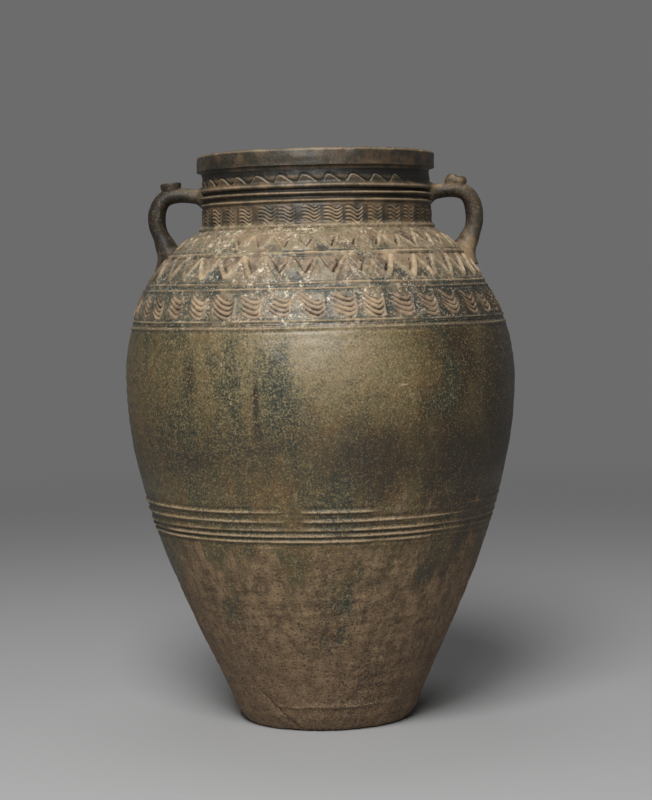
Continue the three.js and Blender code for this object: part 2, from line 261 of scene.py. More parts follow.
def jarGlaze():
    look = tints(jarLook)
    material, shader, at = newMaterial("jarGlaze")
    shader.inputs["IOR"].default_value = 1.5
    side = at.node("SeparateXYZ", {}, {0: at}, 0)
    height = at.node("SeparateXYZ", {}, {0: at}, 2)
    wearAndHighlight, pool, brown = [at.layer(key) for key in tones]

    # Noises
    broad = at.noise(6, 3)
    patch = at.stretch((17, 17, 11)).noise(1, 5, 0.65)
    blotch = at.noise(62, 4, 0.65)
    streak = at.stretch((25, 25, 3.2)).noise(1, 4, 0.6)
    grit = at.noise(500, 3, 0.75)
    smut = at.noise(150, 5, 0.8)
    scrape = at.stretch((9, 9, 240)).noise(1, 3, 0.7)
    trickle = at.stretch((110, 110, 24)).noise(1, 4, 0.65)
    pits = at.cells(190).rise(0, 0.36)

    # Zones
    def past(level, up=height):  # 0 at the first height of a level, 1 at the second
        low, high = jarLevels[level]
        return up.rise(low * mm, high * mm)

    low = past("low", height + (streak - 0.5) * 0.42)
    neckZone = past("neck", height + (patch - 0.5) * 0.012)
    shoulderZone = past("shoulder") * (1 - neckZone)
    plain = 1 - shoulderZone
    green = (streak * 0.4 + patch * 0.35 + broad * 0.35 - side * 0.25).rise(0.52, 0.68)
    # lowShade: painted shade on the lower belly, under its widest point: darker umber, less green and fewer
    # gold specks
    lowShade = past("lowShadeFoot") * past("lowShadeTop")
    # shaded: umber patches, and painted shade that covers the right side (side grows to the right)
    shaded = (patch * 0.6 + smut * 0.3 + side + lowShade * 0.04).rise(0.46, 0.64)
    # crown: a painted highlight, lighter khaki on the upper belly at its front middle
    crown = past("crown") * (1 - shaded) * side.rise(0.14, 0.03) * side.rise(-0.2, -0.04) * (0.5 + patch)
    # sideShade: painted shade, darker umber on the shoulder's right side below the comb band's top and, less,
    # on its left side; rubbed clay and lime are weaker there
    sideShade = (side.rise(0.05, 0.13) * past("sideShade") + side.rise(-0.07, -0.18) * 0.45) * shoulderZone
    # middle: the front middle of the shoulder, where more pale specks are added as a painted highlight
    middle = side.rise(-0.13, -0.05) * side.rise(0.08, -0.01)
    # rubbed: the wear tone, which also carries painted highlights, shown as pale buff
    rubbed = (wearAndHighlight * (0.3 + blotch * 1.1)).rise(0.12, 0.9) * (1 - sideShade * 0.5)

    # Mixed colours
    bare = (blotch * 0.2 + trickle * 0.25 + scrape * 0.07 + smut * 0.3 + grit * 0.18).rise(0.45, 0.55)
    bare = bare.blend(look.clay, look.clayBrown)
    bare = (past("reddened") * 0.5).blend(bare, look.clayRed)
    worked = blotch.rise(0.42, 0.6).blend(look.tan, look.rust)
    dull = blotch.rise(0.42, 0.6).blend(look.neckBrown, look.neckRust)
    deep = (smut * 0.7 + broad * 0.3 + brown * 0.2).rise(0.46, 0.54).blend(look.pool, look.poolBrown)
    # on the neck the deep tone goes near black: the painted shadow under the rim and painted shade in the
    # grooves, with pooled glaze
    deep = neckZone.blend(deep, look.soot)
    dark = low.blend(look.darkFleck, look.clayPit)
    dark = shoulderZone.blend(dark, look.tealFleck)
    # pale specks on the shoulder: cream crust, and painted glints
    pale = shoulderZone.blend(look.goldFleck, look.glint)

    # Dark flecks, pale specks of cream crust and painted glints, lime with a painted highlight, and pits
    crusted = (patch * 0.5 + blotch * 0.5).rise(0.40, 0.54) * 0.65 + pool * 0.3
    crust = crusted * shoulderZone * (1 - rubbed * 0.8) * (1 - brown * 0.7)
    flecks = (grit * 0.65 + smut * 0.35 - green * 0.04).rise(0.48, 0.41)
    flecked = (0.6 + green * (0.3 - low * 0.3) - neckZone * 0.3 + low * 0.25 - lowShade * 0.1) * plain
    flecked = flecked + (1 - rubbed) * (1 - brown) * shoulderZone * 0.4 + crust * 0.6
    specks = (grit * 0.7 + smut * 0.3).rise(0.52, 0.60)
    # gold specks, a few more under the painted highlight on the upper belly
    dusted = 0.6 - low * 0.05 - neckZone * 0.55 - shaded * 0.15 - lowShade * 0.2 + crown * 0.1
    limed = (patch * 0.3 + smut * 0.7).rise(0.54, 0.62) * shoulderZone * (1 - brown) * (1 - sideShade)
    holes = (1 - pits) * 0.9 + smut.rise(0.40, 0.33) * 0.6

    coats = (  # each over the one before it: how much of it shows, and its colour
        # umber patches and painted shade on the belly's right side
        (shaded * 0.9, look.umber),
        # the painted highlight on the upper belly
        (crown * 0.6, look.khaki),
        (green * (0.75 - lowShade * 0.35), look.green),
        # painted shade on the lower belly
        (lowShade * 0.25, look.umber),
        (low * 0.95, bare),
        (shoulderZone * 0.9, worked),
        # painted shade on the shoulder's sides, and a darker band below the neck
        (sideShade * 0.9 + past("banded") * shoulderZone * 0.22, look.umber),
        (brown * 0.85, look.cutBrown),
        (neckZone * 0.92, dull),
        (past("rim") * 0.42, look.soot),
        ((pool * (0.55 + smut * 0.8)).rise(0.1, 0.95), deep),
        (rubbed * (0.85 - neckZone * 0.15), look.buff),
        (flecks * flecked, dark),
        (specks * (dusted * plain + crust * 0.55), pale),
        # lime, with more of it at the front middle as a painted highlight
        (limed * (0.4 + middle * 0.45), pale),
        ((holes * low).rise(0, 1), look.clayPit),
    )
    colour = (blotch * 0.6 + patch * 0.4).rise(0.42, 0.58).blend(look.olive, look.brown)
    for share, coat in coats:
        colour = share.blend(colour, coat)

    # Shine and grain
    rough = 0.36 + low * 0.25 + past("ringed") * 0.15 + neckZone * 0.08 + lowShade * 0.1
    rough = rough + grit * 0.12 + rubbed * (0.5 - neckZone * 0.4)
    coarse = 0.4 + low * 1.2 + shoulderZone * 0.4
    bumps = (grit * 0.8 + smut * 0.4 + pits * 0.4 + scrape * low * 0.2) * coarse
    wire(shader, Base_Color=colour, Roughness=rough, Normal=bumps.bump(0.0012))
    return material


handleLook = {
    "brown": (38, 28, 18),
    "dark": (24, 20, 15),
    "green": (38, 39, 31),
    "pale": (160, 135, 103),
}


def handleGlaze():
    look = tints(handleLook)
    material, shader, at = newMaterial("handleGlaze")
    shader.inputs["IOR"].default_value = 1.45
    wearAndHighlight = at.layer("wearAndHighlight")
    mottle = at.noise(45, 4, 0.6)
    patch = at.noise(24, 3)
    grain = at.noise(300, 4, 0.75)
    colour = mottle.rise(0.38, 0.62).blend(look.dark, look.brown)
    colour = (patch.rise(0.52, 0.62) * 0.6).blend(colour, look.green)
    rubs = wearAndHighlight * (mottle * 0.6 + patch * 0.6).rise(0.48, 0.82) + grain.rise(0.53, 0.66) * 0.25
    colour = rubs.blend(colour, look.pale)
    bumps = mottle * 0.6 + grain * 0.6
    wire(shader, Base_Color=colour, Roughness=0.5 + grain * 0.2, Normal=bumps.bump(0.0015))
    return material


def floorPaint():
    material, shader, at = newMaterial("floorPaint")
    shader.inputs["Base Color"].default_value = studio["floorColour"]
    shader.inputs["Roughness"].default_value = 0.9
    # Away from the jar the floor fades into the backdrop, so that no horizon shows
    fade = at.node("VectorMath", {"operation": "LENGTH"}, {0: at}, 1)
    fade = fade.rise(studio["fadeFrom"], studio["fadeTo"]) * seenRay(at)
    glow = {"Color": studio["skyColour"], "Strength": studio["backdropStrength"]}
    backdrop = at.node("Emission", {}, glow)
    floor = Field(at.tree, shader.outputs[0])
    both = at.node("MixShader", {}, {0: fade, 1: floor, 2: backdrop})
    at.tree.links.new(both.socket, at.tree.nodes["Material Output"].inputs[0])
    return material


def seenRay(field):  # 1 for what the camera sees, by itself, in a reflection or through something
    rays = ("Is Camera Ray", "Is Glossy Ray", "Is Transmission Ray")
    camera, glossy, through = [field.node("LightPath", {}, {}, ray) for ray in rays]
    return camera.math("MAXIMUM", camera, glossy.math("MAXIMUM", glossy, through))


def placeWorld():
    world = bpy.data.worlds.new("studio")
    world.use_nodes = True
    tree = world.node_tree
    tree.nodes.clear()
    out = tree.nodes.new("ShaderNodeOutputWorld")
    sky = tree.nodes.new("ShaderNodeBackground")
    sky.inputs["Color"].default_value = studio["skyColour"]
    seen = seenRay(Field(tree, sky.outputs[0]))
    strength = seen * (studio["backdropStrength"] - studio["skyStrength"]) + studio["skyStrength"]
    tree.links.new(strength.socket, sky.inputs["Strength"])
    tree.links.new(sky.outputs[0], out.inputs[0])
    scene.world = world


# The body's line, as radius and height

body = {
    "footRadius": 85,
    "footCorner": 90.5,
    "flare": (99.3, 17),
    "footLean": math.radians(19),
    "footPull": 59,
    "bellyRise": 157.7,  # of the widest point above the belly's seam
    "pullDown": 140,
    "pullUp": 12.5,
    "topRadius": 128,
    "topSlope": math.radians(35),
    "topPull": 102,
    "wall": 11,
    "seamRise": 6,  # each seam is higher inside
    "fingerDepth": 0.5,  # of the rings that fingers left inside
    "fingerPitch": 2.6,
}


def bezier(*points, count=240):
    share = np.linspace(0, 1, count)[:, None]
    rows = [np.array(p, float) * np.ones((count, 1)) for p in points]
    while len(rows) > 1:
        rows = [a * (1 - share) + b * share for a, b in zip(rows, rows[1:])]
    return rows[0]


def runAlong(line):  # distance along a line at each of its points
    return np.concatenate([[0], np.cumsum(np.linalg.norm(np.diff(line, axis=0), axis=1))])


def pointsAt(run, along, line):  # points of a line, by the distance along it
    return np.column_stack([np.interp(run, along, line[:, i]) for i in (0, 1)])


def outward(line):  # normals of a line that climbs with the outside at its right
    along = np.gradient(line, axis=0)
    normal = np.column_stack([along[:, 1], -along[:, 0]])
    return normal / np.linalg.norm(normal, axis=1)[:, None]


def makeBodyLine():
    b = body
    flare = np.array(b["flare"])
    widest = np.array((bellyRadius, bellySeam + b["bellyRise"]))
    top = np.array((b["topRadius"], neckSeam))
    lean = b["footPull"] * np.array((math.sin(b["footLean"]), math.cos(b["footLean"])))
    slope = b["topPull"] * np.array((math.cos(b["topSlope"]), -math.sin(b["topSlope"])))
    edge = bezier((b["footRadius"], 0), (b["footCorner"], 0), flare)
    lower = bezier(flare, flare + lean, widest - (0, b["pullDown"]), widest)
    upper = bezier(widest, widest + (0, b["pullUp"]), top + slope, top)
    return np.vstack([edge, lower[1:], upper[1:]])


bodyLine = makeBodyLine()
bodyRun = runAlong(bodyLine)
bodyOut = outward(bodyLine)


def wallAt(height):
    return np.interp(height, bodyLine[:, 1], bodyLine[:, 0])


def runAt(height):
    return np.interp(height, bodyLine[:, 1], bodyRun)


def wallRows(low, high, step):  # points up the wall, a step apart along it
    count = max(1, round((runAt(high) - runAt(low)) / step))
    run = np.linspace(runAt(low), runAt(high), count + 1)
    return pointsAt(run, bodyRun, bodyLine)


def innerRows(low, high, step=6):
    rows = wallRows(low + body["seamRise"], high + body["seamRise"], step)
    out = pointsAt(rows[:, 1], bodyLine[:, 1], bodyOut)
    return rows - out * (body["wall"] + body["fingerDepth"] * np.sin(rows[:, 1:] / body["fingerPitch"]))


# Hand-made unevenness and carving, from the turn round the jar and the height

def ease(low, high, x):
    share = np.clip((x - low) / (high - low), 0, 1)
    return share * share * (3 - 2 * share)


def hump(x, at, half):  # a round hump of height 1
    return np.exp(-(((x - at) / half) ** 2))


def fromFront(turn):  # from minus half a turn to half a turn, to the right
    return (turn + 1.5 * math.pi) % fullTurn - math.pi


lumpsTop = 640  # above the rim, so that every height has a row of its own


def lumps(turn, height, around, tall, seed):  # smooth random swells, from -1 to 1
    grid = np.random.default_rng(seed).uniform(-1, 1, (int(lumpsTop / tall) + 6, around))
    x = turn / fullTurn % 1 * around
    y = height / tall + 2
    i = np.floor(x).astype(int)
    j = np.floor(y).astype(int)
    u = ease(0, 1, x - i)
    v = ease(0, 1, y - j)
    low = grid[j, i % around] * (1 - u) + grid[j, (i + 1) % around] * u
    high = grid[j + 1, i % around] * (1 - u) + grid[j + 1, (i + 1) % around] * u
    return low * (1 - v) + high * v


thrown = {
    "broad": 0.7,
    "fine": 0.35,
    "lean": 3.2,  # of the shoulder, to the left
    "leanAt": shoulderSeam + 40,
    "leanHalf": 36,
    "rings": 0.22,
    "ringPitch": 1.9,
}


def wobble(turn, height):  # the thrown wall, out of true and faintly ringed
    t = thrown
    swell = t["broad"] * lumps(turn, height, 5, 130, 3) + t["fine"] * lumps(turn, height, 16, 45, 4)
    swell -= t["lean"] * np.cos(turn) * hump(height, t["leanAt"], t["leanHalf"])
    rings = t["rings"] * np.sin(height / t["ringPitch"] + 2 * lumps(turn, height, 6, 60, 5))
    return swell + rings * ease(-0.2, 0.5, lumps(turn, height, 7, 70, 6))


def slots(turn, count):  # which of the equal slots round the jar, and how far across it
    place = turn / fullTurn % 1 * count
    number = np.floor(place).astype(int) % count
    return number, place - np.floor(place)


def jitter(seed, count, low, high):
    return np.random.default_rng(seed).uniform(low, high, count)


def marks(shape, wearAndHighlight=0, pool=0, brown=0):  # millimetres out, and the three tones from 0 to 1
    return np.stack(np.broadcast_arrays(shape, wearAndHighlight, pool, brown))


def ridge(turn, height, r):
    drift = r["drift"] * lumps(turn, height * 0, 14, 50, r["seed"])
    sound = 1 - r["worn"] * ease(0, 0.9, lumps(turn, height * 0, 30, 50, r["seed"] + 1))
    x = (height + drift - r["at"]) / r["width"]
    crest = np.cos(np.clip(x, -0.5, 0.5) * math.pi) ** 1.6
    sides = hump(x, -0.75, 0.3) + hump(x, 0.75, 0.3)
    # pale crests, with wear and a painted highlight, and darker sides, with pooled glaze and painted shade
    return sound * marks(r["rise"] * (crest - 0.35 * sides), r["pale"] * crest ** 1.3, r["dark"] * sides)


def ridges(turn, height, shared, places, firstSeed, seedStep):  # alike, at several heights
    own = [{"at": at, "seed": firstSeed + seedStep * i} for i, at in enumerate(places)]
    return sum(ridge(turn, height, {**shared, **o}) for o in own)


def combed(turn, height, c):
    count = c["count"]
    seed = c["seed"]
    slot, across = slots(turn + c["shift"] + 0.004 * lumps(turn, height, 60, 12, seed), count)

    def pick(step, low, high):  # one number for each stroke
        return jitter(seed + step, count, low, high)[slot]

    u = (across - 0.5 - pick(1, -0.06, 0.06)) / (c["share"] * pick(2, 0.86, 1.1)) + 0.5
    middle = (c["low"] + c["high"]) / 2 + pick(3, -1.2, 1.2)
    swing = c["swing"] * pick(4, 0.75, 1.2)
    v = (height - middle - swing * c["path"](np.clip(u, 0, 1))) / pick(5, 0.92, 1.08)
    tooth = 0.5 + 0.5 * np.cos(fullTurn * v / c["pitch"])
    half = c["lines"] * c["pitch"] / 2
    rows = ease(half + 0.5, half - 0.4, np.abs(v))
    inBand = ease(c["low"] - 0.5, c["low"] + 1, height)
    inBand = inBand * ease(c["high"] + 0.5, c["high"] - 1, height)
    drawn = ease(-0.03, c["fade"], u) * ease(1.03, 0.97, u) * rows * inBand
    burr = hump(u, 1.05, 0.04) * rows * inBand
    bowl = ease(0.15, 0.5, u) * ease(1, 0.85, u) * ease(half - 0.3, half + 2.5, v) * inBand
    press = pick(6, 0.7, 1.15)
    bars = inBand * ease(0.2, -0.05, np.minimum(u, 1 - u)) * pick(7, 0.2, 0.7)
    shape = press * (c["depth"] * drawn * (0.22 - tooth ** 4) + c["burr"] * burr) - 0.5 * bowl
    wearAndHighlight = c["pale"] * (drawn * (0.1 + 0.7 * (1 - tooth ** 3) * press) + c["burr"] * burr)
    brown = c["brown"] * drawn * ease(0.05, 0.4, u)
    return marks(shape, wearAndHighlight, np.maximum(bars, c["inked"] * drawn * tooth ** 4), brown)


def fallPath(u):  # long fall from the left, a trough, and a short rise
    return np.where(u < 0.8, ((0.8 - u) / 0.8) ** 1.7, 0.3 * ((u - 0.8) / 0.2) ** 2) - 0.4


def tildePath(u):  # a hump at the left, and a trough three quarters across
    return np.cos(fullTurn * (u ** 1.5 - 0.08) / 1.1)


def nearStroke(x, y, start, end):  # along a stroke from 0 to 1, aside from it, and away from it
    run = end - start
    length = np.hypot(run[0], run[1])
    along = ((x - start[0]) * run[0] + (y - start[1]) * run[1]) / length ** 2
    aside = ((x - start[0]) * run[1] - (y - start[1]) * run[0]) / length
    past = (along - np.clip(along, 0, 1)) * length
    return along, aside, np.hypot(aside, past)


def zigzagPlan(z, pitch, tall):  # each stroke's ends, width and height, and how deep it is cut beside
    def pick(step, low, high):
        return jitter(z["seed"] + step, z["count"], low, high)

    return {
        "topX": pitch * (z["apex"] + pick(4, -0.06, 0.06)),
        "lowX": pitch * pick(5, -0.06, 0.06),
        "topY": tall - z["upWidth"] / 2 - pick(6, 0, 2),
        "lowY": pick(7, -1.5, 0.5),
        "upWide": z["upWidth"] * pick(8, 0.8, 1.15),
        "downWide": z["downWidth"] * pick(9, 0.8, 1.15),
        "upHigh": pick(14, 0.75, 1.2),
        "downHigh": pick(15, 0.5, 1.1),
        "slit": pick(10, 0.5, 1.5).clip(0, 1),
        "pitted": pick(16, -0.2, 1.5).clip(0, 1),
        "kind": pick(11, 0, 1),
    }


def zigzagStrokes(x, y, slot, z, pitch, tall, plan):  # the ribbon, its crown, and the cuts beside it
    ribbon, crown, cut = np.zeros((3, len(x)))
    for step in (-1, 0, 1):
        here = (slot + step) % z["count"]
        after = (here + 1) % z["count"]
        low = np.stack([plan["lowX"][here] + step * pitch, plan["lowY"][here]])
        top = np.stack([plan["topX"][here] + step * pitch, plan["topY"][here]])
        nextLow = np.stack([plan["lowX"][after] + (step + 1) * pitch, plan["lowY"][after]])
        for way, start, end in (("up", low, top), ("down", top, nextLow)):
            along, aside, away = nearStroke(x, y, start, end)
            half = plan[way + "Wide"][here] / 2
            face = ease(half + 0.5, half - 0.7, away)
            domed = np.sqrt(np.clip(1 - 0.75 * (away / half) ** 2, 0, 1)) * plan[way + "High"][here]
            crown = np.where(face > ribbon, domed, crown)
            ribbon = np.maximum(ribbon, face)
            edge = 0.4 * hump(aside, -half - 0.4, 0.7) * ease(0, 0.1, along) * ease(1, 0.9, along)
            cut = np.maximum(cut, edge)
            if way == "up":
                gash = hump(aside, -half - 0.7, 1.15) * ease(-0.05, 0.1, along) * ease(0.75, 0.6, along)
                hole = hump(np.hypot((along - 0.76) * tall, aside + half + 2), 0, z["pellet"])
                deep = np.maximum(gash * plan["slit"][here], hole * plan["pitted"][here])
                cut = np.maximum(cut, deep)
    return ribbon, crown, cut


def zigzagged(turn, height, z):
    count = z["count"]
    seed = z["seed"]
    slot, across = slots(turn + z["shift"], count)
    pitch = fullTurn * wallAt((z["low"] + z["high"]) / 2) / count
    tall = runAt(z["high"]) - runAt(z["low"])
    ragX = lumps(turn, height, 60, 14, seed) + 0.6 * lumps(turn, height, 190, 5, seed + 1)
    ragY = lumps(turn, height, 60, 14, seed + 2) + 0.6 * lumps(turn, height, 190, 5, seed + 3)
    x = across * pitch + z["ragged"] * ragX
    y = runAt(height) - runAt(z["low"]) + z["ragged"] * ragY
    inBand = ease(-2, 0.5, y) * ease(tall + 2, tall - 0.5, y)
    plan = zigzagPlan(z, pitch, tall)
    ribbon, crown, cut = zigzagStrokes(x, y, slot, z, pitch, tall, plan)
    lowX = plan["lowX"][slot]
    topX = plan["topX"][slot]
    nextX = pitch + plan["lowX"][(slot + 1) % count]
    underLine = np.minimum((x - lowX) / (topX - lowX), (nextX - x) / (nextX - topX))
    hollow = ease(-2, 2, y - underLine * tall)  # 1 inside a V, 0 under an arch
    kind = plan["kind"][slot]
    underArch = ease(0.45, 0.25, y / tall) * (1 - hollow) * z["teal"] * ease(0.6, 0.4, kind)
    pellet = hump(np.hypot(x - topX, y - 0.22 * tall), 0, z["pellet"]) * ease(0.5, 0.6, kind)
    sound = 1 - z["worn"] * ease(-0.1, 0.7, lumps(turn, height, 19, 20, seed + 12))
    ground = 1 - ribbon
    sunk = ease(0.05, 0.65, cut) * ground
    level = -z["sink"] * (hollow + 0.8 * underArch) * ground
    shape = sound * (z["rise"] * ribbon * crown + level + 1.3 * pellet * ground) - z["cut"] * sunk
    front = fromFront(turn)
    handled = 0.4 + 0.6 * ease(0.25, 0.5, np.abs(front)) + 0.45 * ease(0.3, 0.5, front)
    wearAndHighlight = z["pale"] * handled * (0.1 + 0.7 * sound * ribbon * crown + 0.6 * pellet)
    pool = np.maximum(sunk, sound * ground * np.maximum(0.15 * hollow, 0.8 * underArch))
    lip = hump(y, tall + 0.8, 1) * hollow * ease(-0.2, 0.3, lumps(turn, height * 0, 45, 50, seed + 17))
    band = inBand * marks(shape, wearAndHighlight, pool, np.maximum(sunk, 0.55 * sound * ground * hollow))
    return band + z["lip"] * marks(lip, lip)


def scars(front, up, places):  # scratches, chips, stray lumps and stains
    total = np.zeros((4, len(front)))
    for turn, at, long, wide, slope, rise, wearAndHighlight, pool in places:
        x = ((front - turn + math.pi) % fullTurn - math.pi) * bellyRadius
        y = up - at
        along = (x * math.cos(slope) + y * math.sin(slope)) / long
        aside = (y * math.cos(slope) - x * math.sin(slope)) / wide
        total += hump(np.hypot(along, aside), 0, 1) * np.array([[rise], [wearAndHighlight], [pool], [0]])
    return total


# The turned pieces

wedges = 20  # a wedge is spun and then copied round, because one long spin is slow
skinKeys = ("skin", "outR", "outZ")  # which points are outside, and which way out is


def turnProfile(name, outer, inner, columns):
    bm = bmesh.new()
    skin, outR, outZ = [bm.verts.layers.float.new(key) for key in skinKeys]
    loop = []
    for (radius, height), out in zip(outer, outward(outer)):
        vert = bm.verts.new((radius * mm, 0, height * mm))
        vert[skin] = 1
        vert[outR], vert[outZ] = out
        loop.append(vert)
    loop += [bm.verts.new((radius * mm, 0, height * mm)) for radius, height in inner[::-1]]
    edges = [bm.edges.new(pair) for pair in zip(loop, loop[1:])]
    if min(loop[0].co.x, loop[-1].co.x) > mm:
        edges.append(bm.edges.new((loop[-1], loop[0])))
    about = {"cent": (0, 0, 0), "axis": (0, 0, 1), "dvec": (0, 0, 0)}
    bmesh.ops.spin(bm, geom=loop + edges, angle=fullTurn / wedges, steps=columns // wedges, **about)
    wedge = list(bm.verts) + list(bm.edges) + list(bm.faces)
    rest = fullTurn * (wedges - 1) / wedges
    bmesh.ops.spin(bm, geom=wedge, angle=rest, steps=wedges - 1, use_duplicate=True, **about)
    bmesh.ops.remove_doubles(bm, verts=bm.verts, dist=0.01 * mm)
    bmesh.ops.recalc_face_normals(bm, faces=bm.faces)
    return toMesh(bm, name)


def readPoints(mesh):
    flat = np.empty(len(mesh.vertices) * 3, np.float32)
    mesh.vertices.foreach_get("co", flat)
    return flat.reshape(-1, 3).astype(float)


def writePoints(mesh, points):
    mesh.vertices.foreach_set("co", points.astype(np.float32).ravel())
    mesh.update()


def takeLayer(mesh, key):
    layer = mesh.attributes[key]
    values = np.empty(len(mesh.vertices), np.float32)
    layer.data.foreach_get("value", values)
    mesh.attributes.remove(layer)
    return values.astype(float)


def addLayer(mesh, key, values):
    mesh.attributes.new(key, "FLOAT", "POINT").data.foreach_set("value", values.astype(np.float32))


def carve(mesh, marksAt):
    points = readPoints(mesh)
    skin, outR, outZ = [takeLayer(mesh, key) for key in skinKeys]
    x, y, z = points.T
    turn = np.arctan2(y, x)
    height = z / mm
    shape, *shades = marksAt(turn, height) * skin
    sway = np.where(np.hypot(x, y) < mm, 0, wobble(turn, height))  # none on the axis
    x += np.cos(turn) * (shape * outR + sway) * mm
    y += np.sin(turn) * (shape * outR + sway) * mm
    z += shape * outZ * mm
    writePoints(mesh, points)
    for key, values in zip(tones, shades):
        addLayer(mesh, key, np.clip(values, 0, 1))


smoothAngle = math.radians(65)  # edges that turn more than this stay sharp


def finishPiece(name, mesh, material, slot, node):
    mesh.polygons.foreach_set("use_smooth", np.ones(len(mesh.polygons), bool))
    mesh.set_sharp_from_angle(angle=smoothAngle)
    mesh.materials.append(material)
    piece = addObject(name, mesh)
    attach(piece, "root")
    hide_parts(node)
    mesh.calc_loop_triangles()
    print("made", name, len(mesh.loop_triangles), "triangles")


def turnPiece(name, outer, inner, columns, marksAt, *finish):
    mesh = turnProfile(name, outer, inner, columns)
    carve(mesh, marksAt)
    finishPiece(name, mesh, *finish)


baseDisc = {
    "columns": 320,
    "points": 24,  # across the floor, and as many underneath
    "thick": 20,
    "hollow": 1.2,
    "hollowEase": 14,
    "fingerDepth": 0.6,
    "fingerPitch": 3.4,
    "fingerEase": 10,
}


def makeBase(material):
    b = baseDisc
    foot = body["footRadius"]
    edge = wallRows(0, lowerSeam, 1.5)
    under = np.linspace(0, foot - 2, b["points"])
    under = np.column_stack([under, b["hollow"] * ease(foot, foot - b["hollowEase"], under)])
    inside = wallAt(lowerSeam + body["seamRise"]) - body["wall"]
    floor = np.linspace(0, inside, b["points"])
    rings = b["fingerDepth"] * (1 + np.cos(floor / b["fingerPitch"]))
    rings = rings * ease(inside, inside - b["fingerEase"], floor)
    floor = np.column_stack([floor, b["thick"] - rings])
    outer = np.vstack([under, edge])
    turnPiece("baseDisc", outer, floor, b["columns"], footMarks, material, "bare_clay", "base_disc")


footScrape = {
    "top": 28,
    "depth": 1,
    "from": -0.55,  # turn from the front
    "to": 0.45,
    "crack": ((-0.66, 43), (-0.53, 26), (-0.32, 2)),  # turns and heights
    "crackRadius": 100,
    "crackHalf": 1.3,
}


def footMarks(turn, height):
    f = footScrape
    front = fromFront(turn)
    near = ease(f["from"] - 0.06, f["from"] + 0.06, front) * ease(f["to"] + 0.5, f["to"] - 0.1, front)
    edge = f["top"] + 1.2 * lumps(turn, height * 0, 40, 50, 31)
    shape = -f["depth"] * ease(edge + 1.2, edge - 1.2, height) * near
    lip = hump(height, edge + 1.6, 1.2) * near
    dents = 0.35 * lumps(turn, height, 60, 9, 32) + 0.22 * lumps(turn, height, 140, 4.5, 33)
    pits = ease(0.62, 0.85, lumps(turn, height, 150, 3.6, 34))
    pits = pits * (0.4 + 0.6 * ease(0, 0.5, lumps(turn, height, 17, 40, 35)))
    crackLine = np.array(f["crack"]) * (f["crackRadius"], 1)
    x = front * f["crackRadius"] + 1.6 * lumps(turn, height, 120, 5, 36)
    away = [nearStroke(x, height, start, end)[2] for start, end in zip(crackLine, crackLine[1:])]
    crack = hump(np.min(away, axis=0), 0, f["crackHalf"])
    total = dents + shape + 0.9 * lip - pits - 1.3 * crack
    total = marks(total, 0.9 * lip, 0.3 * pits + 0.8 * crack)
    return total + scars(front, height, lowerWall["scars"])


lowerWall = {
    "columns": 560,
    "rowStep": 1.9,
    # as the belly's scars, but the height is above the ground
    "scars": (
        (0.46, 146, 4, 1.8, 0.9, -1, 0.2, 0.9), (-0.52, 129, 1.9, 5, 0, -0.9, 0, 0.8),
        (0.02, 92, 3.4, 1.9, 0.3, -0.9, 0, 0.9), (-0.53, 168, 2.5, 2, 0, 0.7, 0.7, 0),
        (0.19, 179, 4, 1.8, 0.1, 0.8, 0.7, 0), (0.33, 183, 5, 1.8, -0.3, 0.7, 0.7, 0),
        (-0.06, 84, 2.2, 1.9, 0, -0.9, 0, 0.9), (0.2, 34, 4, 1.9, -0.6, -0.8, 0, 0.7),
        (-0.16, 136, 4, 2, 0.4, -0.7, 0, 0.7), (0.07, 132, 2.2, 2, 0, -0.8, 0, 0.8),
    ),
}


def makeLower(material):
    w = lowerWall
    outer = wallRows(lowerSeam, bellySeam, w["rowStep"])
    inner = innerRows(lowerSeam, bellySeam)
    turnPiece("lowerWall", outer, inner, w["columns"], footMarks, material, "thin_glaze", "lower_wall")


bellyWall = {
    "columns": 600,
    "ridgeStep": 1,
    "plainStep": 2.2,
    "innerStep": 10,
    "ridgesUp": (5.7, 11.7, 17.7, 26.7, 36.2),
    "ridge": {"width": 4.4, "rise": 1.4, "drift": 0.6, "worn": 0.5, "pale": 1.2, "dark": 0.65},
    "topRidge": {"at": shoulderSeam - 3.8, "width": 4.2, "rise": 1.6, "drift": 0.4, "worn": 0.6, "pale": 0.6,
                 "dark": 0.5, "seed": 45},
    # turn from the front, height above the seam, half length, half width, slope, rise, worn, glazed over
    "scars": (
        (0.41, 161, 6, 1.6, 0.05, 0.5, 0.9, 0), (0.58, 114, 10, 1.5, 0, 0.5, 0.5, 0),
        (-0.53, 186, 9, 2.6, -0.4, 0.8, 0.2, 0.6), (-0.49, 184, 4, 1.6, -0.3, 0.7, 0.9, 0),
        (-0.38, 178, 3, 2.4, 0, -1, 0, 0.8), (-0.44, 146, 2, 1.8, 0, 0.6, 0.9, 0),
        (-0.31, 152, 4, 24, 0, 0, 0, 1), (-0.30, 118, 8, 14, 0, 0, 0, 0.7),
        (-0.68, 172, 10, 28, 0, 0, 0, 0.8), (-0.22, 100, 34, 7, 0.1, 0, 0, 0.6),
        (0.1, 88, 40, 14, 0.2, 0, 0, 0.5), (0.72, 86, 8, 24, 0, 0, 0, 0.7), (-0.7, 88, 50, 12, 0, 0, 0, 0.6),
        (-0.137, 50, 4, 3, 0.9, 1.6, 0.7, 0), (-0.16, 56, 3, 2.4, 0, -1.2, 0, 0.9),
        (-0.233, 43, 4, 1.6, -0.5, 1, 0.7, 0), (-0.212, 55, 4, 1.4, 0.1, 0.7, 0.6, 0),
        (1.9, 130, 14, 40, 0, 0, 0, 0.7), (2.7, 100, 26, 50, 0, 0, 0, 0.6), (3.9, 150, 12, 44, 0, 0, 0, 0.7),
    ),
}


